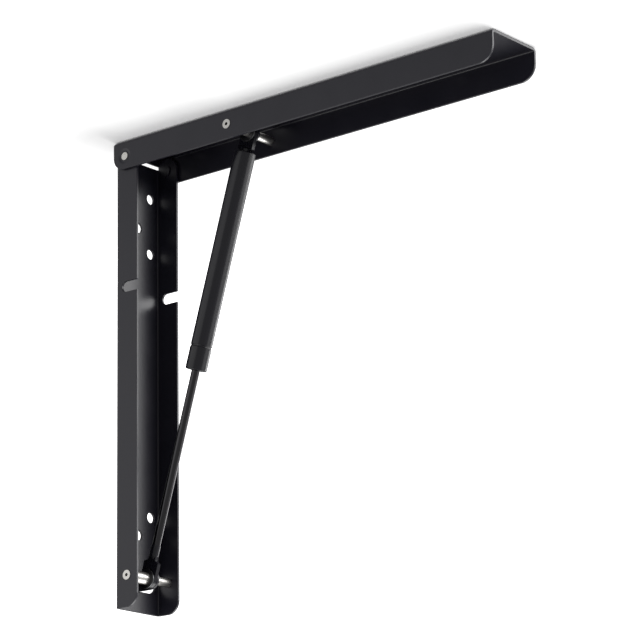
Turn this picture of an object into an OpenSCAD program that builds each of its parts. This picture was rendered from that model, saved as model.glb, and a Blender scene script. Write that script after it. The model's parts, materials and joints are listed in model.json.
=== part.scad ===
// Folding shelf bracket with a gas strut.
// X points out from the wall, Y runs across the bracket, Z points up.
// The origin is on the wall plane, midway across, level with the hinge axis.
// The bracket is drawn open, with the arm level; it folds down about the hinge.

/* [Wall channel] */
// Width over the two flanges
wall_w = 46; // [42:0.5:50]
// Depth from the wall to the flanges' front edges
wall_depth = 21; // [20:0.5:24]
// Length from the hinge axis down to the bottom end
wall_drop = 338.3; // [330:0.1:350]
// Sheet thickness of both channels
sheet = 2; // [1.8:0.1:2.2]
// Diameter of the screw holes
screw_hole_d = 7.5; // [5:0.5:8]

/* [Arm channel] */
// Gap between a wall flange and the arm flange beside it
side_gap = 0.65; // [0.6:0.05:0.9]
// Height over the arm's web and flanges
arm_h = 22.4; // [21.5:0.1:24]
// Distance from the wall to the arm's tip
arm_reach = 348; // [335:1:350]

/* [Hinge and pins] */
// Distance from the wall to the hinge axis
hinge_x = 11; // [10.8:0.1:11.2]
// Distance from the hinge to the strut's upper pin, along the arm
pin_reach = 100.3; // [98:0.1:102]
// Height of the upper pin above the hinge
pin_rise = 1; // [0.5:0.1:1.5]
// Distance from the wall to the strut's lower pin
low_pin_x = 11.5; // [11:0.1:12]
// Height of the lower pin above the wall channel's bottom end
low_pin_lift = 23; // [20:0.1:26]
// Diameter of the two strut pins
pin_d = 6.4; // [6:0.1:6.6]

/* [Gas strut] */
// Outer diameter of the cylinder
tube_d = 15.9; // [15:0.1:16.1]
// Diameter of the piston rod
rod_d = 6.3; // [5.8:0.1:6.5]
// Distance from the upper pin to the cylinder's lower end
tube_end = 177.6; // [176:0.1:179]
// Width of the flat eyes
eye_w = 14; // [13:0.5:14.5]
// Thickness of the flat eyes
eye_t = 3; // [2.4:0.1:3.4]

/* [Hidden] */
$fn = 64;

// Bend radii, outside the sheet and inside it
bend_out = 3;
bend_in = bend_out - sheet;
// Clearance on the radius of a running or sliding fit
fit = 0.05;
// Overlap between joined solids and past cut faces
eps = 0.01;
past = 1;

// Arm levels and widths
arm_top = 12.4;
arm_web_z = arm_top - sheet;
arm_bottom = arm_top - arm_h;
arm_inner_y = wall_w / 2 + side_gap;
arm_outer_y = arm_inner_y + sheet;
arm_back = 0.2;
arm_back_r = 10;
arm_tip_r = 12;
lip_bottom = 5.85;
lip_bend = 2.5;

// Wall channel levels
web_top = 2.8;
relief_x = 3.5;
wall_foot_r = 10;
flange_top_r = wall_depth - hinge_x;

// Slots that take the upper pin when the bracket is folded
slot_w = 8.1;
slot_end_x = 10.4;

// Screw holes in two outer columns and on the centre line: near ones as
// drops from the hinge, far ones as their distance from the channel's end
column_y = 13.1;
column_near = [22.5, 65.7];
column_far = 71.6;
centre_near = 47.8;
centre_far = 56.8;

// Lugs bent out of each web beside the strut's eyes
eye_gap = 0.3;
lug_cut_gap = 0.3;
lug_y = eye_t / 2 + eye_gap;
lug_r = 7.2;
lug_cut_r = lug_r + lug_cut_gap;
lug_cut_y = 10.8;

// Hinge rivets and the dishes they sit in
rivet_r = 2.5;
rivet_end_r = 2.95;
rivet_end_t = 0.4;
rivet_head_r = 3.8;
rivet_head_t = 1;
dish_r = 6;
dish_floor_r = 4.4;
dish_depth = 0.5;

// Strut pins: peened ends with a centre hole, spacer and washers
pin_end_r = 3.5;
pin_end_t = 0.5;
pin_hole_r = 1.15;
pin_hole_depth = 4;
spacer_r = 4.4;
washer_r = 7.1;
washer_t = 1.2;

// Strut: lengths are measured from the upper pin towards the lower pin
upper_pin = [hinge_x + pin_reach, 0, pin_rise];
lower_pin = [low_pin_x, 0, low_pin_lift - wall_drop];
strut_l = norm(upper_pin - lower_pin);
strut_tilt = atan2(upper_pin.x - lower_pin.x, upper_pin.z - lower_pin.z);
tube_start = 14.5;
tube_wall = 1;
tube_bore_r = tube_d / 2 - tube_wall;
tube_corner_r = 1;
tube_lip = 1.2;
lip_gap = 0.5;
groove_s = 160;
groove_r = 0.9;
groove_depth = 0.5;

// Eyes: length of the flat, of its shoulders, and of the round shank
eye_flat = 12.2;
eye_shoulder = 2.1;
shank_r = 3.5;
stud_r = 2.5;
plug_end = 22;
neck_step = 0.35;
neck_r = rod_d / 2 + neck_step;
neck_l = 25;
neck_cone = 2.5;
rod_tip_r = 2;
rod_tip_l = 9;

// Inside the cylinder: the piston group, and the guide group below the groove
piston_shoulder = 149.3;
piston_l = 6.5;
piston_gap = 0.3;
piston_r = tube_bore_r - piston_gap;
piston_nut_l = 1.4;
nut_r = 4.5;
ring_l = 2.6;
ring_depth = 1.3;
seal_washer_t = 1;
seal_washer_gap = 0.2;
seal_l = 2.6;
seal_washer_top = groove_s + groove_r;
seal_top = seal_washer_top + seal_washer_t;
guide_top = seal_top + seal_l;
inner_r = tube_bore_r - fit;

// ---- shared shapes ----

// A cylinder along Y between y0 and y1
module y_rod(r, y0, y1) {
    translate([0, y1, 0]) rotate([90, 0, 0]) cylinder(r = r, h = y1 - y0);
}

// An XZ outline spread along Y between y0 and y1
module y_plate(y0, y1) {
    translate([0, y1, 0]) rotate([90, 0, 0]) linear_extrude(y1 - y0) children();
}

// Cross-section of a bent channel: web on the X axis, flanges to y = depth
module u_section(half_w, depth) {
    difference() {
        rounded_foot(half_w, depth, bend_out);
        translate([0, sheet]) rounded_foot(half_w - sheet, depth, bend_in);
    }
}

// A block with its two lower corners rounded
module rounded_foot(half_w, depth, r) {
    translate([-half_w + r, 0]) square([2 * (half_w - r), depth]);
    translate([-half_w, r]) square([2 * half_w, depth - r]);
    for (s = [-1, 1]) translate([s * (half_w - r), r]) circle(r);
}

// Lug beside the origin's eye: it stands up from a web that lies a distance
// web_x behind the pin, with its bend and its round end. Web side is -X.
module lug(web_x) {
    y_plate(lug_y, lug_y + sheet) {
        circle(lug_r);
        translate([bend_out - web_x, -lug_r])
            square([web_x - bend_out, 2 * lug_r]);
    }
    translate([bend_out - web_x, lug_y - bend_in, -lug_r])
        intersection() {
            difference() {
                cylinder(r = bend_out, h = 2 * lug_r);
                translate([0, 0, -past])
                    cylinder(r = bend_in, h = 2 * lug_r + 2 * past);
            }
            translate([-bend_out - eps, 0, 0])
                cube([bend_out + 2 * eps, bend_out, 2 * lug_r]);
        }
}

// The window that the lug leaves in its web
module lug_window(web_x) {
    translate([-web_x - past, 0, 0]) rotate([90, 0, 90])
        linear_extrude(sheet + past + bend_in) {
            translate([lug_y - bend_in, -lug_cut_r])
                square([lug_cut_y - lug_y + bend_in, 2 * lug_cut_r]);
            translate([lug_cut_y, 0]) circle(lug_cut_r);
        }
}

// Screw holes of a channel that ends at a given distance from the hinge. Local
// X is the hole axis, local Z points back to the hinge.
module screw_holes(end) {
    for (drop = concat(column_near, end - column_far), side = [-1, 1])
        translate([0, side * column_y, -drop]) screw_hole();
    for (drop = [centre_near, end - centre_far])
        translate([0, 0, -drop]) screw_hole();
}

module screw_hole() {
    translate([-past, 0, 0]) rotate([0, 90, 0])
        cylinder(d = screw_hole_d, h = sheet + 2 * past);
}

// Turns a profile about the strut's axis: x is radius, y is distance down
module strut_turned() {
    strut_frame() mirror([0, 0, 1]) rotate_extrude() children();
}

module strut_frame() {
    translate(upper_pin) rotate([0, strut_tilt, 0]) children();
}

// Ring profile between two radii and two distances
module band(r0, r1, s0, s1) {
    translate([r0, s0]) square([r1 - r0, s1 - s0]);
}

// Flat outline of an eye about its pin, with the shank side along +Y
module eye_outline() {
    circle(d = eye_w);
    translate([-eye_w / 2, 0]) square([eye_w, eye_flat]);
    translate([0, eye_flat]) polygon([
        [-eye_w / 2, -eps], [eye_w / 2, -eps],
        [shank_r, eye_shoulder], [-shank_r, eye_shoulder]]);
}

// ---- wall body ----

module wall_side() {
    difference() {
        translate([0, -wall_drop]) square([wall_depth, wall_drop]);
        translate([wall_depth - wall_foot_r, -wall_drop - past])
            square([wall_foot_r + past, wall_foot_r + past]);
    }
    translate([wall_depth - wall_foot_r, -wall_drop + wall_foot_r])
        circle(wall_foot_r);
    square([hinge_x, web_top]);
    translate([hinge_x, 0]) circle(flange_top_r);
}

module wall_channel() {
    color("#333336") difference() {
        union() {
            difference() {
                intersection() {
                    translate([0, 0, -wall_drop]) rotate([0, 0, -90])
                        linear_extrude(wall_drop + flange_top_r)
                            u_section(wall_w / 2, wall_depth);
                    y_plate(-wall_w, wall_w) wall_side();
                }
                translate(lower_pin) lug_window(low_pin_x);
            }
            translate(lower_pin) lug(low_pin_x);
        }
        // The web and both bends stop short of the flanges' round tops
        translate([-past, -wall_w, web_top])
            cube([relief_x + past, 2 * wall_w, flange_top_r]);
        translate([hinge_x, 0, 0]) y_rod(rivet_r + eps, -wall_w, wall_w);
        translate(lower_pin) y_rod(pin_d / 2 + eps, -wall_w, wall_w);
        screw_holes(wall_drop);
        translate([slot_end_x, 0, -pin_reach]) {
            y_rod(slot_w / 2, -wall_w, wall_w);
            translate([0, -wall_w, -slot_w / 2])
                cube([wall_depth, 2 * wall_w, slot_w]);
        }
    }
}

// One hinge rivet: round head inside the wall channel, peened end in the dish
module hinge_rivet(side) {
    end_y = arm_outer_y - dish_depth;
    color("silver") translate([hinge_x, 0, 0]) mirror([0, side < 0 ? 1 : 0, 0])
        rotate([-90, 0, 0]) rotate_extrude() {
            translate([0, wall_w / 2 - sheet - rivet_head_t])
                square([rivet_head_r, rivet_head_t]);
            translate([0, wall_w / 2 - sheet - eps])
                square([rivet_r, end_y + sheet + eps - wall_w / 2 + eps]);
            translate([0, end_y + eps]) square([rivet_end_r, rivet_end_t]);
        }
}

// Half of the lower pin, from its peened end inwards to the eye's gap
module lower_pin_half(side) {
    color("silver") translate(lower_pin) mirror([0, side < 0 ? 1 : 0, 0])
        difference() {
            union() {
                y_rod(pin_d / 2, lug_y, wall_w / 2 + eps);
                y_rod(pin_end_r, wall_w / 2, wall_w / 2 + pin_end_t);
            }
            y_rod(pin_hole_r, wall_w / 2 + pin_end_t - pin_hole_depth, wall_w);
        }
}

module lower_spacer() {
    color("silver") translate(lower_pin) difference() {
        y_rod(spacer_r, -wall_w / 2 + sheet, -lug_y - washer_t);
        y_rod(pin_d / 2 + fit, -wall_w / 2, 0);
    }
}

module pin_washer(y1) {
    difference() {
        y_rod(washer_r, y1 - washer_t, y1);
        y_rod(pin_d / 2 + fit, y1 - washer_t - past, y1 + past);
    }
}

module lower_washer() {
    color("#55565a") translate(lower_pin) pin_washer(-lug_y);
}

// ---- arm body ----

module arm_side() {
    difference() {
        translate([arm_back, arm_bottom])
            square([arm_reach - arm_back, arm_h]);
        translate([arm_back - past, arm_bottom - past])
            square([arm_back_r + past, arm_back_r + past]);
        translate([arm_back - past, arm_top - lip_bend])
            square([lip_bend + past, lip_bend + past]);
        translate([arm_reach - arm_tip_r, arm_bottom - past])
            square([arm_tip_r + past, arm_tip_r + past]);
    }
    translate([arm_back + arm_back_r, arm_bottom + arm_back_r])
        circle(arm_back_r);
    translate([arm_back + lip_bend, arm_top - lip_bend]) circle(lip_bend);
    translate([arm_reach - arm_tip_r, arm_bottom + arm_tip_r])
        circle(arm_tip_r);
}

// The shell: a rounded bar, hollowed from below and behind its rear lip
module arm_shell() {
    intersection() {
        translate([0, 0, arm_top]) rotate([90, 0, 90])
            linear_extrude(arm_reach) mirror([0, 1])
                rounded_foot(arm_outer_y, arm_h + past, bend_out);
        y_plate(-wall_w, wall_w) arm_side();
    }
}

module arm_hollow() {
    translate([arm_back + sheet, 0, arm_web_z]) rotate([90, 0, 90])
        linear_extrude(arm_reach) mirror([0, 1])
            rounded_foot(arm_inner_y, arm_h, bend_in);
    translate([-past, -arm_inner_y, arm_bottom - past])
        cube([arm_back + sheet + 2 * past, 2 * arm_inner_y,
              lip_bottom - arm_bottom + past]);
}

// Cone of the dish pressed into an arm flange round the hinge. It starts at y0
// and rises by a number of dish depths on one slope.
module dish(y0, depths) {
    translate([hinge_x, y0, 0]) rotate([-90, 0, 0])
        cylinder(r1 = dish_floor_r,
                 r2 = dish_floor_r + depths * (dish_r - dish_floor_r),
                 h = depths * dish_depth);
}

module arm_channel() {
    color("#333336") difference() {
        union() {
            difference() {
                arm_shell();
                arm_hollow();
                translate(upper_pin) rotate([0, 90, 0])
                    lug_window(arm_top - pin_rise);
            }
            translate(upper_pin) rotate([0, 90, 0]) lug(arm_top - pin_rise);
            // Boss on the inside, hollow on the outside
            for (side = [0, 1]) mirror([0, side, 0])
                dish(arm_inner_y - dish_depth, 1);
        }
        for (side = [0, 1]) mirror([0, side, 0])
            dish(arm_outer_y - dish_depth, 2);
        translate([hinge_x, 0, 0]) y_rod(rivet_r + fit, -wall_w, wall_w);
        translate(upper_pin) y_rod(pin_d / 2 + eps, -wall_w, wall_w);
        translate([hinge_x, 0, arm_top]) rotate([0, 90, 0]) mirror([0, 0, 1])
            screw_holes(arm_reach - hinge_x);
    }
}

module upper_pin() {
    color("silver") translate(upper_pin) difference() {
        union() {
            y_rod(pin_d / 2, -arm_outer_y - eps, arm_outer_y + eps);
            for (side = [0, 1]) mirror([0, side, 0])
                y_rod(pin_end_r, arm_outer_y, arm_outer_y + pin_end_t);
        }
        for (side = [0, 1]) mirror([0, side, 0])
            y_rod(pin_hole_r, arm_outer_y + pin_end_t - pin_hole_depth, wall_w);
    }
}

module upper_washer() {
    color("#55565a") translate(upper_pin) pin_washer(-lug_y);
}

// ---- cylinder body ----

module cylinder_tube() {
    r = tube_d / 2;
    c = tube_corner_r;
    color("#2c2c2f") strut_turned() difference() {
        union() {
            band(0, r - c, tube_start, tube_end);
            band(0, r, tube_start + c, tube_end - c);
            for (s = [tube_start + c, tube_end - c])
                translate([r - c, s]) circle(c);
        }
        band(-past, shank_r + lip_gap, tube_start - past, tube_end);
        band(-past, rod_d / 2 + lip_gap, tube_start, tube_end + past);
        difference() {
            band(-past, tube_bore_r, tube_start + tube_lip, tube_end - tube_lip);
            translate([tube_bore_r - groove_depth + groove_r, groove_s])
                circle(groove_r);
        }
        translate([r - groove_depth + groove_r, groove_s]) circle(groove_r);
    }
}

module cylinder_plug() {
    color("gray") strut_turned()
        band(stud_r + fit, inner_r, tube_start + tube_lip, plug_end);
}

module upper_eye() {
    color("#2c2c2f") strut_frame() difference() {
        union() {
            y_plate(-eye_t / 2, eye_t / 2) mirror([0, 1]) eye_outline();
            translate([0, 0, -tube_start - tube_lip])
                cylinder(r = shank_r, h = tube_start + tube_lip - eye_flat);
            translate([0, 0, -plug_end])
                cylinder(r = stud_r, h = plug_end - tube_start);
        }
        y_rod(pin_d / 2 + fit, -past - eye_t, past + eye_t);
    }
}

module rod_guide() {
    color("goldenrod") strut_turned()
        band(rod_d / 2 + fit, inner_r, guide_top, tube_end - tube_lip);
}

module rod_seal() {
    color("#222222") strut_turned()
        band(rod_d / 2 + fit, inner_r, seal_top, guide_top);
}

module seal_washer() {
    color("gray") strut_turned()
        band(rod_d / 2 + seal_washer_gap, inner_r, seal_washer_top, seal_top);
}

// ---- rod body ----

module piston_rod() {
    neck_s = strut_l - neck_l;
    nut_s = piston_shoulder - piston_l - piston_nut_l;
    color("#4a4744") strut_turned() {
        band(0, rod_d / 2, piston_shoulder, neck_s);
        band(0, rod_tip_r, nut_s, piston_shoulder + eps);
        band(0, rod_tip_r, neck_s - eps, neck_s + rod_tip_l);
    }
}

module piston() {
    ring_s = piston_shoulder - piston_l / 2 - ring_l / 2;
    color("gray") strut_turned() difference() {
        band(rod_tip_r + eps, piston_r, piston_shoulder - piston_l, piston_shoulder);
        band(piston_r - ring_depth, piston_r + past, ring_s, ring_s + ring_l);
    }
}

module piston_ring() {
    ring_s = piston_shoulder - piston_l / 2 - ring_l / 2;
    color("#222222") strut_turned()
        band(piston_r - ring_depth, inner_r, ring_s + fit, ring_s + ring_l - fit);
}

module piston_nut() {
    nut_s = piston_shoulder - piston_l - piston_nut_l;
    color("gray") strut_turned()
        band(rod_tip_r + eps, nut_r, nut_s, nut_s + piston_nut_l);
}

module lower_eye() {
    neck_s = eye_flat + eye_shoulder;
    color("#2c2c2f") translate(lower_pin) rotate([0, strut_tilt, 0]) difference() {
        union() {
            y_plate(-eye_t / 2, eye_t / 2) {
                eye_outline();
                translate([-shank_r, neck_s - eps])
                    square([2 * shank_r, neck_cone + 2 * eps]);
            }
            // The flat swells into the round neck above its shoulders
            translate([0, 0, neck_s])
                cylinder(r1 = eye_t / 2, r2 = neck_r, h = neck_cone);
            translate([0, 0, neck_s + neck_cone])
                cylinder(r = neck_r, h = neck_l - neck_s - neck_cone);
        }
        translate([0, 0, neck_l - rod_tip_l - past])
            cylinder(r = rod_tip_r + eps, h = rod_tip_l + 2 * past);
        y_rod(pin_d / 2 + eps, -past - eye_t, past + eye_t);
    }
}

// The stretch of the lower pin that turns in the eye
module lower_eye_pin() {
    color("silver") translate(lower_pin) y_rod(pin_d / 2, -eye_t / 2, eye_t / 2);
}

wall_channel();
hinge_rivet(-1);  // hinge_rivet_left
hinge_rivet(1);  // hinge_rivet_right
lower_pin_half(-1);  // lower_pin_left
lower_pin_half(1);  // lower_pin_right
lower_spacer();
lower_washer();
arm_channel();
upper_pin();
upper_washer();
cylinder_tube();
cylinder_plug();
upper_eye();
rod_guide();
rod_seal();
seal_washer();
piston_rod();
piston();
piston_ring();
piston_nut();
lower_eye();
lower_eye_pin();
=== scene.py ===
# %% [markdown]
# # A folding shelf bracket with a gas strut
# Two steel channels are hinged together: one is screwed to the wall, the other
# carries the shelf. A gas strut between two cross pins props the arm.
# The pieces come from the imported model, already at their real size. This
# lesson gives them rounded edges and their finishes, then a pale stage, soft
# lamps and a camera.

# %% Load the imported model
import json
import math
import bmesh
import bpy
import numpy as np
from mathutils import Matrix, Vector


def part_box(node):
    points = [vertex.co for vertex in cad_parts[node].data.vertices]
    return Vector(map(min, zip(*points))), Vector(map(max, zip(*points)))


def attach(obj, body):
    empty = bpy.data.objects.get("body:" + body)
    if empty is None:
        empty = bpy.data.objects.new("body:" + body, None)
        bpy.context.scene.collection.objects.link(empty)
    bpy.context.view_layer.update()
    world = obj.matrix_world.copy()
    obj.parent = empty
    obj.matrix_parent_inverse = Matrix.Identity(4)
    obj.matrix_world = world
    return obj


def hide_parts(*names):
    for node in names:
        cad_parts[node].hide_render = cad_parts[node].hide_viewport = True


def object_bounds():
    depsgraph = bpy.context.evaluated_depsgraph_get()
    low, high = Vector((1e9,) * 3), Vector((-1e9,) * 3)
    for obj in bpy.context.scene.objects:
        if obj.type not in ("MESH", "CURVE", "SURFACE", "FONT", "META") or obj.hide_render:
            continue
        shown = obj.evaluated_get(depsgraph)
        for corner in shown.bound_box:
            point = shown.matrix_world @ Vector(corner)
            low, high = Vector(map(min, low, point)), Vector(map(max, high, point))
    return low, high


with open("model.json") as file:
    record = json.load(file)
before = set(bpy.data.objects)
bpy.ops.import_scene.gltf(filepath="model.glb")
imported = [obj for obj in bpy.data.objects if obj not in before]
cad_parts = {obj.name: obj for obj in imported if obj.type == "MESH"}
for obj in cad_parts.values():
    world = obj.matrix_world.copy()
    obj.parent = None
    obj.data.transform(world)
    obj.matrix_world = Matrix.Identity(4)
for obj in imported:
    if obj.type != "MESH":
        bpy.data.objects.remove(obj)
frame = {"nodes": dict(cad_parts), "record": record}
CAD_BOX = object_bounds()
MM = 0.001
BODY_OF = {name: body for body, names in frame["record"]["behaviour"]["bodies"].items()
           for name in names}
SLOT_OF = {part["node"]: part["material_slot"] for part in frame["record"]["subparts"]}
print("pieces in the model:", len(frame["nodes"]))

# %% [markdown]
# ## Helpers
# A small set of helpers keeps the materials short. Colours are written as
# sRGB hex values, the way a paint chart gives them, and turned to linear
# light by one function. Another adds a shader node, fills in its sockets and
# links whatever socket is handed to it.

# %% Colour and node helpers
def srgb(hex_value):
    """Linear RGBA of an sRGB hex colour such as 1a1a1c."""
    parts = [int(hex_value[i:i + 2], 16) / 255 for i in (0, 2, 4)]
    linear = [p / 12.92 if p <= 0.04045 else ((p + 0.055) / 1.055) ** 2.4 for p in parts]
    return (*linear, 1.0)


def node(tree, kind, inputs=None, **settings):
    """Adds a node; inputs maps socket names or numbers to values or sockets."""
    n = tree.nodes.new(kind)
    for name, value in settings.items():
        setattr(n, name, value)
    for name, value in (inputs or {}).items():
        if isinstance(value, bpy.types.NodeSocket):
            tree.links.new(value, n.inputs[name])
        else:
            n.inputs[name].default_value = value
    return n


def blank_material(name):
    """An empty node material, its tree and its output node."""
    m = bpy.data.materials.new(name)
    m.use_nodes = True
    m.node_tree.nodes.clear()
    return m, m.node_tree, m.node_tree.nodes.new("ShaderNodeOutputMaterial")


def waves_per_metre(size_mm):
    """Texture scale at which one bump of a noise is size_mm across."""
    return 1.0 / (size_mm * MM)


# A noise texture rarely leaves this part of the range from 0 to 1.
NOISE_SPAN = {"From Min": 0.3, "From Max": 0.7}


# %% [markdown]
# ## Powder coat on the two channels
# The channels are pressed from 2 mm sheet and coated with polyester powder,
# which melts and flows in the oven. It never levels quite flat: it leaves
# orange peel, low humps under a millimetre across. That softens each
# reflection, so the black looks satin. Humps could be modelled, but a bump
# from a noise costs no faces and can't change the part's size. The peel is
# drawn 1.6 mm across, about twice its real size, because a finer one would
# vanish at this distance. A second, slower noise varies the gloss a little,
# as the coat's thickness does.

# %% Powder coat
PEEL_MM = 1.6
PEEL_HEIGHT_MM = 0.003
GLOSS_PATCH_MM = 22
COAT_ROUGHNESS = 0.33, 0.38
COAT_COLOURS = "15141d", "1b1a23"


def powder_coat():
    """Satin black coat with orange peel."""
    m, t, out = blank_material("black_polyester_powder_coat")
    place = node(t, "ShaderNodeTexCoord").outputs["Object"]
    peel = node(t, "ShaderNodeTexNoise", {
        "Vector": place, "Scale": waves_per_metre(PEEL_MM), "Detail": 2.0})
    bump = node(t, "ShaderNodeBump", {
        "Height": peel.outputs["Fac"], "Strength": 1.0, "Distance": PEEL_HEIGHT_MM * MM})
    patch = node(t, "ShaderNodeTexNoise", {
        "Vector": place, "Scale": waves_per_metre(GLOSS_PATCH_MM), "Detail": 3.0})
    gloss = node(t, "ShaderNodeMapRange", {
        "Value": patch.outputs["Fac"], **NOISE_SPAN,
        "To Min": COAT_ROUGHNESS[0], "To Max": COAT_ROUGHNESS[1]})
    shade = node(t, "ShaderNodeMix", {
        "Factor": patch.outputs["Fac"], "A": srgb(COAT_COLOURS[0]),
        "B": srgb(COAT_COLOURS[1])}, data_type="RGBA")
    skin = node(t, "ShaderNodeBsdfPrincipled", {
        "Base Color": shade.outputs["Result"], "Roughness": gloss.outputs["Result"],
        "IOR": 1.5, "Normal": bump.outputs["Normal"]})
    t.links.new(skin.outputs["BSDF"], out.inputs["Surface"])
    return m


# %% [markdown]
# ## Enamel on the strut's cylinder
# The cylinder is drawn tube, sprayed with a thin stoving enamel. It is
# smoother than powder coat, and what shows is the faint lengthwise draw marks
# under the film. They come from a noise that is stretched along the tube,
# by turning the pattern to the tube's tilt and squeezing it along Z. An
# anisotropic gloss would do on bare metal, but paint has no grain of its own.

# %% Strut enamel
STRUT_TILT = math.radians(17.51)
DRAW_MARK_MM = 1.2
DRAW_STRETCH = 0.03
DRAW_HEIGHT_MM = 0.003
ENAMEL_ROUGHNESS = 0.24, 0.29
ENAMEL_COLOUR = "0f0e15"


def strut_enamel():
    """Smooth black paint over draw marks that run along the strut."""
    m, t, out = blank_material("black_stoving_enamel")
    place = node(t, "ShaderNodeTexCoord").outputs["Object"]
    along = node(t, "ShaderNodeMapping", {
        "Vector": place, "Rotation": (0.0, -STRUT_TILT, 0.0)})
    stretched = node(t, "ShaderNodeVectorMath", {
        0: along.outputs["Vector"], 1: (1.0, 1.0, DRAW_STRETCH)}, operation="MULTIPLY")
    marks = node(t, "ShaderNodeTexNoise", {
        "Vector": stretched.outputs["Vector"], "Scale": waves_per_metre(DRAW_MARK_MM),
        "Detail": 2.0})
    bump = node(t, "ShaderNodeBump", {
        "Height": marks.outputs["Fac"], "Strength": 1.0,
        "Distance": DRAW_HEIGHT_MM * MM})
    gloss = node(t, "ShaderNodeMapRange", {
        "Value": marks.outputs["Fac"], **NOISE_SPAN,
        "To Min": ENAMEL_ROUGHNESS[0], "To Max": ENAMEL_ROUGHNESS[1]})
    skin = node(t, "ShaderNodeBsdfPrincipled", {
        "Base Color": srgb(ENAMEL_COLOUR), "Roughness": gloss.outputs["Result"],
        "IOR": 1.48, "Normal": bump.outputs["Normal"]})
    t.links.new(skin.outputs["BSDF"], out.inputs["Surface"])
    return m


# %% [markdown]
# ## Zinc-plated steel
# The pins, rivets and spacer are steel with a bright zinc plate. A turned or
# peened end keeps fine rings about its own axis, so each pin's finish is told
# where that axis is. The rings are drawn 0.8 mm apart, several times coarser
# than the real tool marks. Within the drilled centre the pin is drawn almost
# black, as painted shade for the shadow deep in so small a hole. Between the
# sheets a rivet's inner head takes the channel's dark colour. One material
# per pin is more work than one for all, but the rings stay centred.

# %% Places on a pin
RING_MM = 0.8
RING_HEIGHT_MM = 0.006
SHEET_INSIDE_MM = 23.2


def distance_from_axis(t, place, axis_mm):
    """Distance of each point from a line along Y through (x, z), in metres."""
    from_axis = node(t, "ShaderNodeVectorMath", {
        0: place, 1: (axis_mm[0] * MM, 0.0, axis_mm[1] * MM)}, operation="SUBTRACT")
    flat = node(t, "ShaderNodeVectorMath", {
        0: from_axis.outputs["Vector"], 1: (1.0, 0.0, 1.0)}, operation="MULTIPLY")
    return node(t, "ShaderNodeVectorMath", {0: flat.outputs["Vector"]},
                operation="LENGTH").outputs["Value"]


def turned_rings(t, radius, away):
    """Rings of height sin(2 pi radius / RING_MM), only where away is past the sheets."""
    phase = node(t, "ShaderNodeMath", {0: radius, 1: 2 * math.pi / (RING_MM * MM)},
                 operation="MULTIPLY")
    ring = node(t, "ShaderNodeMath", {0: phase.outputs[0]}, operation="SINE")
    at_end = node(t, "ShaderNodeMath", {0: away, 1: SHEET_INSIDE_MM * MM},
                  operation="GREATER_THAN")
    height = node(t, "ShaderNodeMath", {0: ring.outputs[0], 1: at_end.outputs[0]},
                  operation="MULTIPLY")
    return node(t, "ShaderNodeBump", {
        "Height": height.outputs[0], "Strength": 1.0,
        "Distance": RING_HEIGHT_MM * MM}).outputs["Normal"]


def covered_within(t, distance, limit_mm, cover, base):
    """The cover's shader where a distance is under limit_mm, and the base's past it."""
    within = node(t, "ShaderNodeMath", {0: distance, 1: limit_mm * MM},
                  operation="LESS_THAN")
    return node(t, "ShaderNodeMixShader", {
        0: within.outputs[0], 1: base, 2: cover.outputs["BSDF"]}).outputs[0]


# %% Zinc plate
PLATE_CLOUD_MM = 2.5
SMOOTHER, ROUGHER = 0.04, 0.05
# Painted shade in a pin's drilled centre, almost black
HOLE_PAINTED_SHADE_COLOUR, HOLE_PAINTED_SHADE_ROUGHNESS = "050505", 0.9
# Colour of a rivet's inner head between the sheets
INNER_HEAD_COLOUR, INNER_HEAD_ROUGHNESS = "18171f", 0.36


def zinc_plate(name, axis_mm=None, painted_shade_hole_mm=0.0, dark_inside_mm=0.0, colour="d8d6d2",
               roughness=0.27):
    """Bright plate. About an axis it can have rings, painted shade in its hole and a dark
    middle.
    """
    m, t, out = blank_material(name)
    place = node(t, "ShaderNodeTexCoord").outputs["Object"]
    cloud = node(t, "ShaderNodeTexNoise", {
        "Vector": place, "Scale": waves_per_metre(PLATE_CLOUD_MM), "Detail": 4.0})
    gloss = node(t, "ShaderNodeMapRange", {
        "Value": cloud.outputs["Fac"], **NOISE_SPAN,
        "To Min": roughness - SMOOTHER, "To Max": roughness + ROUGHER})
    steel = node(t, "ShaderNodeBsdfPrincipled", {
        "Base Color": srgb(colour), "Metallic": 1.0, "Roughness": gloss.outputs["Result"]})
    finish = steel.outputs["BSDF"]
    if axis_mm:
        across = node(t, "ShaderNodeSeparateXYZ", {"Vector": place}).outputs["Y"]
        away = node(t, "ShaderNodeMath", {0: across}, operation="ABSOLUTE").outputs[0]
        radius = distance_from_axis(t, place, axis_mm)
        t.links.new(turned_rings(t, radius, away), steel.inputs["Normal"])
    # Painted shade: within the drilled centre the pin is drawn almost black
    if axis_mm and painted_shade_hole_mm:
        shade = node(t, "ShaderNodeBsdfPrincipled", {
            "Base Color": srgb(HOLE_PAINTED_SHADE_COLOUR), "Roughness": HOLE_PAINTED_SHADE_ROUGHNESS})
        finish = covered_within(t, radius, painted_shade_hole_mm, shade, finish)
    # Between the sheets the rivet takes the channel's dark colour
    if axis_mm and dark_inside_mm:
        paint = node(t, "ShaderNodeBsdfPrincipled", {
            "Base Color": srgb(INNER_HEAD_COLOUR), "Roughness": INNER_HEAD_ROUGHNESS})
        finish = covered_within(t, away, dark_inside_mm, paint, finish)
    t.links.new(finish, out.inputs["Surface"])
    return m


# %% [markdown]
# ## The strut's rod, the washers and the hidden parts
# The rod is hardened in a salt bath, which leaves it almost black, and then
# polished. The washers are phosphated, a dull grey. Inside the cylinder are a
# turned brass guide and a nitrile seal. All the metals share one recipe, a
# gloss that drifts in small clouds, and differ in colour, gloss and cloud size.

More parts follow.
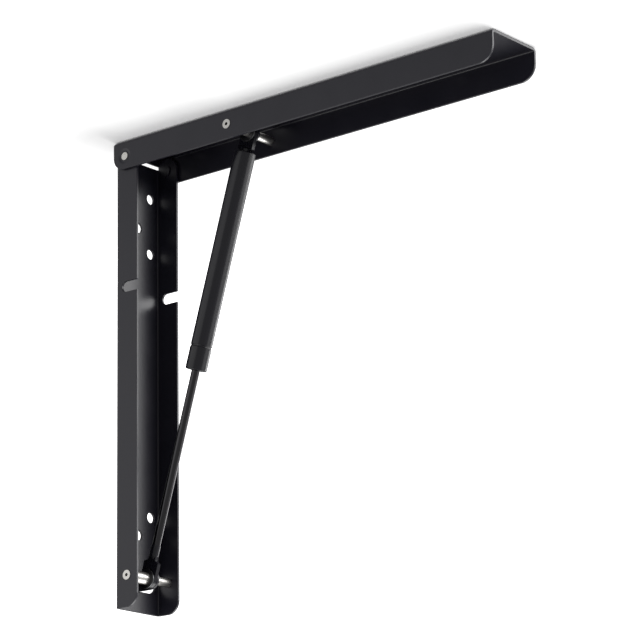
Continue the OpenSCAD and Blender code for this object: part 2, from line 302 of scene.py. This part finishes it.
# %% Other metals and rubber
def cloudy_metal(name, colour, roughness, spread, cloud_mm):
    """A metal whose gloss drifts in clouds of cloud_mm."""
    m, t, out = blank_material(name)
    place = node(t, "ShaderNodeTexCoord").outputs["Object"]
    cloud = node(t, "ShaderNodeTexNoise", {
        "Vector": place, "Scale": waves_per_metre(cloud_mm), "Detail": 4.0})
    gloss = node(t, "ShaderNodeMapRange", {
        "Value": cloud.outputs["Fac"], **NOISE_SPAN,
        "To Min": roughness - spread, "To Max": roughness + spread})
    skin = node(t, "ShaderNodeBsdfPrincipled", {
        "Base Color": srgb(colour), "Metallic": 1.0, "Roughness": gloss.outputs["Result"]})
    t.links.new(skin.outputs["BSDF"], out.inputs["Surface"])
    return m


GRAIN_MM = 0.6
GRAIN_HEIGHT_MM = 0.01
RUBBER_COLOUR, RUBBER_ROUGHNESS = "101010", 0.7


def nitrile():
    """Matt moulded rubber with a fine grain."""
    m, t, out = blank_material("nitrile_rubber")
    place = node(t, "ShaderNodeTexCoord").outputs["Object"]
    grain = node(t, "ShaderNodeTexNoise", {
        "Vector": place, "Scale": waves_per_metre(GRAIN_MM)})
    bump = node(t, "ShaderNodeBump", {
        "Height": grain.outputs["Fac"], "Strength": 1.0,
        "Distance": GRAIN_HEIGHT_MM * MM})
    skin = node(t, "ShaderNodeBsdfPrincipled", {
        "Base Color": srgb(RUBBER_COLOUR), "Roughness": RUBBER_ROUGHNESS,
        "Normal": bump.outputs["Normal"]})
    t.links.new(skin.outputs["BSDF"], out.inputs["Surface"])
    return m


# %% [markdown]
# ## Which piece gets which finish
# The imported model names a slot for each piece, such as powder coat or bright
# steel, and each slot gets one finish. The cross pins and the rivets differ
# from the other bright steel, because their rings need each pin's own axis,
# so they are listed by name and win over their slot.

# %% One finish for each slot, and the pieces that differ
# Axes as (x, z)
LOW_PIN_MM = (11.5, -315.3)
TOP_PIN_MM = (111.3, 1.0)
HINGE_MM = (11.0, 0.0)
# Radius of the painted shade in each pin's drilled centre
PIN_HOLE_SHADE_MM = 1.2

FINISHES = {
    "powder_coat": powder_coat(),
    "strut_paint": strut_enamel(),
    "bright_steel": zinc_plate("zinc_plated_steel", colour="c8c6c2", roughness=0.36),
    "rod_steel": cloudy_metal("salt_bath_nitrided_steel", "464547", 0.15, 0.03, 3.0),
    "dark_washer": cloudy_metal("phosphated_steel", "5a5a5c", 0.36, 0.05, 1.5),
    "seal_rubber": nitrile(),
    "guide_brass": cloudy_metal("turned_brass", "c9a560", 0.3, 0.05, 2.0),
}
low_pin_zinc = zinc_plate("zinc_plated_lower_pin", LOW_PIN_MM, PIN_HOLE_SHADE_MM, roughness=0.38)
top_pin_zinc = zinc_plate("zinc_plated_upper_pin", TOP_PIN_MM, PIN_HOLE_SHADE_MM, roughness=0.38)
rivet_zinc = zinc_plate("zinc_plated_hinge_rivet", HINGE_MM, 0.0, SHEET_INSIDE_MM,
                        colour="e4e2dd")
OWN_FINISH = {
    "lower_pin_left": low_pin_zinc, "lower_pin_right": low_pin_zinc,
    "lower_eye_pin": low_pin_zinc, "upper_pin": top_pin_zinc,
    "hinge_rivet_left": rivet_zinc, "hinge_rivet_right": rivet_zinc,
}

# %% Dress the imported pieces
for name, piece in frame["nodes"].items():
    piece.data.materials.clear()
    piece.data.materials.append(OWN_FINISH.get(name, FINISHES[SLOT_OF[name]]))
print("finishes:", sorted(m.name for m in bpy.data.materials if m.users))

# %% [markdown]
# ## Rounded edges
# Pressed sheet never has a knife edge: tumbling and the coat itself round it
# to a few tenths of a millimetre. That tiny curve matters, because it always
# finds a lamp to mirror and draws the thin pale line along each edge. The
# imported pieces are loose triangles, so each is copied, its doubled corners are
# merged, its flat areas are joined up into single faces, and every edge
# sharper than a bend is rounded. Shading normals then follow the largest face
# at each corner, so that a flat sheet mirrors like a flat sheet. The low cone
# of the rivet's dish keeps its creases. A Bevel modifier would stay live, but
# its overlap guard holds every edge back to the tightest corner around the
# holes, and without the guard it throws spikes. So the edges are cut once, and
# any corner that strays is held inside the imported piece's box.

# %% Rounded copies of the pieces with visible edges
MERGE = 0.001 * MM
FLAT, CREASE, SHARP = (math.radians(angle) for angle in (0.3, 13, 40))
EDGE_STEPS = 2


def fold(joint):
    """Angle between the two faces at an edge, in radians."""
    return joint.calc_face_angle() if joint.is_manifold else 0.0


def rounded(name, radius_mm, keep_clear):
    """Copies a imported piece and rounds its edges, without leaving its box."""
    cad = frame["nodes"][name]
    shape = bmesh.new()
    shape.from_mesh(cad.data)
    bmesh.ops.remove_doubles(shape, verts=shape.verts, dist=MERGE)
    bmesh.ops.dissolve_limit(shape, angle_limit=FLAT, verts=shape.verts, edges=shape.edges,
                             use_dissolve_boundaries=False)
    for joint in shape.edges:
        joint.smooth = not CREASE < fold(joint) < SHARP
    bmesh.ops.bevel(shape, geom=[joint for joint in shape.edges if fold(joint) > SHARP],
                    offset=radius_mm * MM, offset_type="OFFSET", segments=EDGE_STEPS,
                    profile=0.5, affect="EDGES", clamp_overlap=keep_clear)
    mesh = bpy.data.meshes.new(name + "_rounded")
    shape.to_mesh(mesh)
    shape.free()
    points = np.empty((len(mesh.vertices), 3), np.float32)
    mesh.vertices.foreach_get("co", points.ravel())
    low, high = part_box(name)
    mesh.vertices.foreach_set("co", np.clip(points, low, high).ravel())
    mesh.materials.append(cad.data.materials[0])
    mesh.polygons.foreach_set("use_smooth", np.ones(len(mesh.polygons), bool))
    piece = bpy.data.objects.new(name + "_rounded", mesh)
    bpy.context.scene.collection.objects.link(piece)
    level = piece.modifiers.new("flats_stay_flat", "WEIGHTED_NORMAL")
    level.mode = "FACE_AREA"
    level.weight = 100
    level.keep_sharp = True
    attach(piece, BODY_OF[name])
    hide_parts(name)
    print(piece.name, len(mesh.polygons), "faces")
    return piece


# %% The pieces that are rounded, and by how much
SHEET_EDGE_MM = 0.3
SMALL_EDGE_MM = 0.2
for name in ("wall_channel", "arm_channel"):
    rounded(name, SHEET_EDGE_MM, keep_clear=False)
for name in ("upper_washer", "lower_washer"):
    rounded(name, SMALL_EDGE_MM, keep_clear=False)
for name in ("upper_eye", "lower_eye"):
    rounded(name, SMALL_EDGE_MM, keep_clear=True)

# %% [markdown]
# ## Stage
# The bracket is shown as it was laid on a white table, turned so that the arm
# is on top. So the pale board lies just above the arm and catches its soft
# shadow, and a pale floor lies below for views from above. Each board shows
# from its front side only. Both are seen by the lens alone, so they neither
# shut the lamps out nor mirror in the paint. Near the arm a board shows the
# light that falls on it, so the real shadow stays, and its glow for the lens
# is weakest there, which adds painted shade around the bracket. Farther out
# the glow takes over, up to plain white, and the board's edge never shows.

# %% White paint for the boards
# Glow near the arm and the distances over which it grows to white: painted shade around the
# arm
GLOW_IN_PAINTED_SHADE, PAINTED_SHADE_FADE_FROM_MM, PAINTED_SHADE_FADE_TO_MM = 0.04, 20, 260
BOARD_WHITE = "f4f4f4"
# Higher than anything here, so that only the distance sideways counts
TALL = 10.0


def pale_board_with_painted_shade(name):
    """White paint and a glow for the lens, weak near the arm as painted shade."""
    m, t, out = blank_material(name)
    back = node(t, "ShaderNodeNewGeometry").outputs["Backfacing"]
    seen = node(t, "ShaderNodeLightPath").outputs["Is Camera Ray"]
    low, high = CAD_BOX
    middle = ((low[0] + high[0]) / 2, (low[1] + high[1]) / 2, 0.0)
    half = ((high[0] - low[0]) / 2, (high[1] - low[1]) / 2, TALL)
    place = node(t, "ShaderNodeTexCoord").outputs["Object"]
    offset = node(t, "ShaderNodeVectorMath", {0: place, 1: middle}, operation="SUBTRACT")
    across = node(t, "ShaderNodeVectorMath", {0: offset.outputs["Vector"]},
                  operation="ABSOLUTE")
    past = node(t, "ShaderNodeVectorMath", {0: across.outputs["Vector"], 1: half},
                operation="SUBTRACT")
    outside = node(t, "ShaderNodeVectorMath", {0: past.outputs["Vector"],
                                               1: (0.0, 0.0, 0.0)}, operation="MAXIMUM")
    away = node(t, "ShaderNodeVectorMath", {0: outside.outputs["Vector"]},
                operation="LENGTH")
    # Glow for the lens, weakest near the arm: painted shade there, on top of the real shadow
    glow_and_painted_shade = node(t, "ShaderNodeMapRange", {
        "Value": away.outputs["Value"], "From Min": PAINTED_SHADE_FADE_FROM_MM * MM,
        "From Max": PAINTED_SHADE_FADE_TO_MM * MM, "To Min": GLOW_IN_PAINTED_SHADE, "To Max": 1.0})
    strength = node(t, "ShaderNodeMath", {0: seen, 1: glow_and_painted_shade.outputs["Result"]},
                    operation="MULTIPLY")
    lit = node(t, "ShaderNodeBsdfDiffuse", {"Color": srgb(BOARD_WHITE)})
    own = node(t, "ShaderNodeEmission", {"Strength": strength.outputs[0]})
    both = node(t, "ShaderNodeAddShader", {0: lit.outputs[0], 1: own.outputs[0]})
    clear = node(t, "ShaderNodeBsdfTransparent")
    pick = node(t, "ShaderNodeMixShader", {0: back, 1: both.outputs[0], 2: clear.outputs[0]})
    t.links.new(pick.outputs[0], out.inputs["Surface"])
    return m


# %% Stage boards
GAP = 0.3 * MM
BOARD_HALF = 3.0


def board(name, z, facing_up, finish):
    """A flat square stage board at height z, its front face up or down."""
    end = BOARD_HALF
    ring = [(-end, -end, z), (end, -end, z), (end, end, z), (-end, end, z)]
    mesh = bpy.data.meshes.new(name)
    mesh.from_pydata(ring, [], [(0, 1, 2, 3) if facing_up else (3, 2, 1, 0)])
    mesh.materials.append(finish)
    obj = bpy.data.objects.new(name, mesh)
    bpy.context.scene.collection.objects.link(obj)
    for way in ("diffuse", "glossy", "transmission", "volume_scatter", "shadow"):
        setattr(obj, "visible_" + way, False)
    return obj


board("stage_board_above", CAD_BOX[1][2] + GAP, False, pale_board_with_painted_shade("white_table_with_painted_shade"))
board("stage_floor", CAD_BOX[0][2] - GAP, True, pale_board_with_painted_shade("white_floor_with_painted_shade"))
print("boards stand", round(GAP / MM, 2), "mm clear of the bracket, above and below")

# %% [markdown]
# ## World
# A white studio surrounds the bracket. The lens and any glass see it pure
# white. As light it is softer, at a level that shows colours about as they
# are written, and softer still in mirror images, because black paint in a
# real studio mirrors mostly the dark room behind the lamps.

# %% World: white to the lens, softer as light
WORLD_LIGHT, WORLD_SEEN, WORLD_GLOSS = 0.72, 1.0, 0.37
world = bpy.data.worlds.new("studio")
bpy.context.scene.world = world
world.use_nodes = True
wt = world.node_tree
wt.nodes.clear()
rays = node(wt, "ShaderNodeLightPath").outputs
direct = node(wt, "ShaderNodeMath", {0: rays["Is Camera Ray"], 1: rays["Is Transmission Ray"]},
              operation="MAXIMUM").outputs[0]
gloss = node(wt, "ShaderNodeMapRange", {
    "Value": rays["Is Glossy Ray"], "To Min": WORLD_LIGHT, "To Max": WORLD_GLOSS})
level = node(wt, "ShaderNodeMix", {
    "Factor": direct, "A": gloss.outputs["Result"], "B": WORLD_SEEN}, data_type="FLOAT")
sky = node(wt, "ShaderNodeBackground", {"Color": srgb("ffffff"),
                                        "Strength": level.outputs["Result"]})
wt.links.new(sky.outputs[0], wt.nodes.new("ShaderNodeOutputWorld").inputs["Surface"])
print("world seen", WORLD_SEEN, "as light", WORLD_LIGHT, "in mirror images", WORLD_GLOSS)

# %% [markdown]
# ## Lamps
# Black paint shows almost nothing but reflections, so the lamps are placed by
# what each face mirrors. One wide softbox stands behind on the right: the wall
# channel's web mirrors it toward the lens. The two named left stand where the
# outer faces mirror them, and the lamp below puts the bright lines on the
# pins. The one under the back casts the arm's soft shadow on the board above.

# %% Softboxes
CENTRE = Vector((CAD_BOX[0][i] + CAD_BOX[1][i]) / 2 for i in range(3))
DISTANCE = 1.7


def softbox(name, direction, width, height, power):
    """A rectangular lamp that stands in a direction from the bracket and faces it."""
    lamp = bpy.data.lights.new(name, "AREA")
    lamp.shape = "RECTANGLE"
    lamp.size, lamp.size_y = width, height
    lamp.energy = power
    obj = bpy.data.objects.new(name, lamp)
    bpy.context.scene.collection.objects.link(obj)
    way = Vector(direction).normalized()
    obj.location = CENTRE + DISTANCE * way
    obj.rotation_euler = way.to_track_quat("Z", "Y").to_euler()
    obj.visible_camera = False
    return obj


# Name, direction from the bracket, width and height in metres, watts
SOFTBOXES = [
    ("behind_right", (0.76, 0.56, 0.29), 2.0, 0.95, 26.5),
    ("behind", (0.11, 0.99, -0.07), 0.75, 0.75, 8.0),
    ("over_table", (0.24, 0.19, 0.95), 0.75, 0.75, 11.0),
    ("left_wall", (-0.62, -0.78, 0.10), 3.0, 1.0, 5.2),
    ("left_low", (-0.60, -0.74, -0.30), 0.75, 0.75, 1.8),
    ("right_low", (0.87, 0.46, -0.19), 1.0, 0.5, 1.6),
    ("below", (-0.48, -0.39, -0.79), 0.75, 0.75, 4.4),
    ("under_back", (0.0, 0.60, -0.80), 1.2, 1.6, 20.0),
]
for box in SOFTBOXES:
    softbox(*box)
print(len(SOFTBOXES), "softboxes,", round(sum(box[-1] for box in SOFTBOXES), 1), "W together")

# %% [markdown]
# ## Camera
# A long lens stands far off, below the arm and to the right, so that the two
# channels keep almost parallel edges. It looks along two angles, and a third
# one rolls it. A rotation built from those angles is easier to adjust than
# a target object, and needs no constraint.

# %% Camera
AZIMUTH, ELEVATION, ROLL = 38.87, -16.12, -1.02
SENSOR_MM = 36.0
LENS_MM = 166.22
NEAREST = 0.05
CAMERA_AT = Vector((1422.40, -1548.85, -728.07)) * MM
az, el = math.radians(AZIMUTH), math.radians(ELEVATION)
toward = Vector((-math.sin(az) * math.cos(el), math.cos(az) * math.cos(el), -math.sin(el)))
lens = bpy.data.cameras.new("camera")
lens.lens = LENS_MM
lens.sensor_width = SENSOR_MM
lens.clip_start = NEAREST
camera = bpy.data.objects.new("camera", lens)
bpy.context.scene.collection.objects.link(camera)
aim = toward.to_track_quat("-Z", "Y").to_matrix().to_4x4()
roll = Matrix.Rotation(math.radians(ROLL), 4, "Z")
camera.matrix_world = Matrix.Translation(CAMERA_AT) @ aim @ roll
bpy.context.scene.camera = camera
bpy.context.scene.view_settings.view_transform = "Standard"
print("camera", round((CAMERA_AT - CENTRE).length, 3), "m from the bracket's middle")
